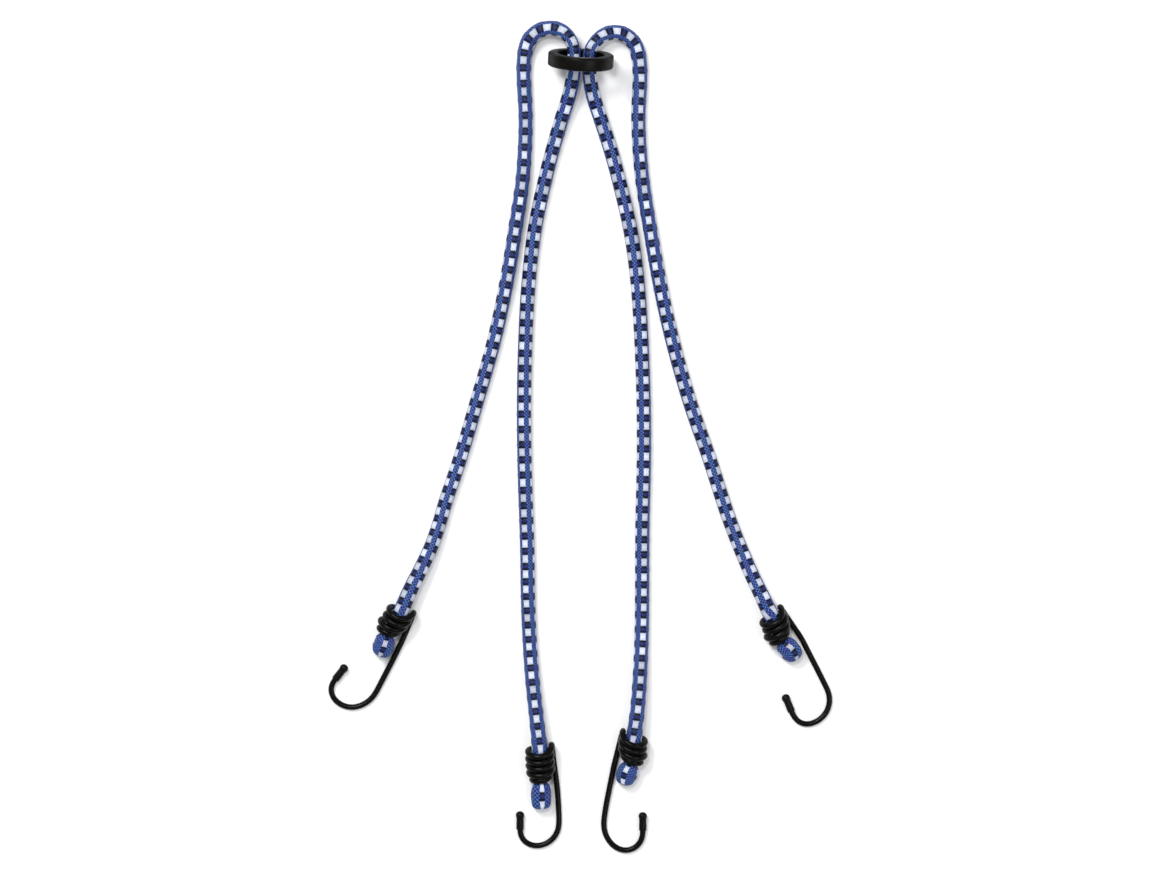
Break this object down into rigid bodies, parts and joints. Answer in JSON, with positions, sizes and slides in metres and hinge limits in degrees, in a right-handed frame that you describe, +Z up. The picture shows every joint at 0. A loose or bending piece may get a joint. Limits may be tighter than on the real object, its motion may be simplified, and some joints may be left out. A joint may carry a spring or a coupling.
{
  "type": "spider bungee strap",
  "caption": "Elastic luggage strap: braided cords looped through a central ring, with a coated wire hook on every cord end, lying flat.",
  "frame": {"origin": "on the surface that the strap lies on, at the foot of the ring", "axes": "+Y from the hooks towards the ring, +X to the right seen from above with the ring at the top, +Z up from the surface"},
  "size_m": [0.2821, 0.465, 0.0367],
  "materials": {
    "braided_cord": "braided polyester sheath",
    "ring_plastic": "moulded, satin black",
    "coated_wire": "black vinyl coat on steel wire",
    "cap_plastic": "moulded, satin black"
  },
  "bodies": {
    "root": {"cord_left": "braided_cord", "cord_right": "braided_cord", "center_ring": "ring_plastic", "hook_left_outer": "coated_wire", "hook_left_inner": "coated_wire", "hook_right_inner": "coated_wire", "hook_right_outer": "coated_wire", "tip_left_outer": "cap_plastic", "tip_left_inner": "cap_plastic", "tip_right_inner": "cap_plastic", "tip_right_outer": "cap_plastic"}
  },
  "joints": []
}
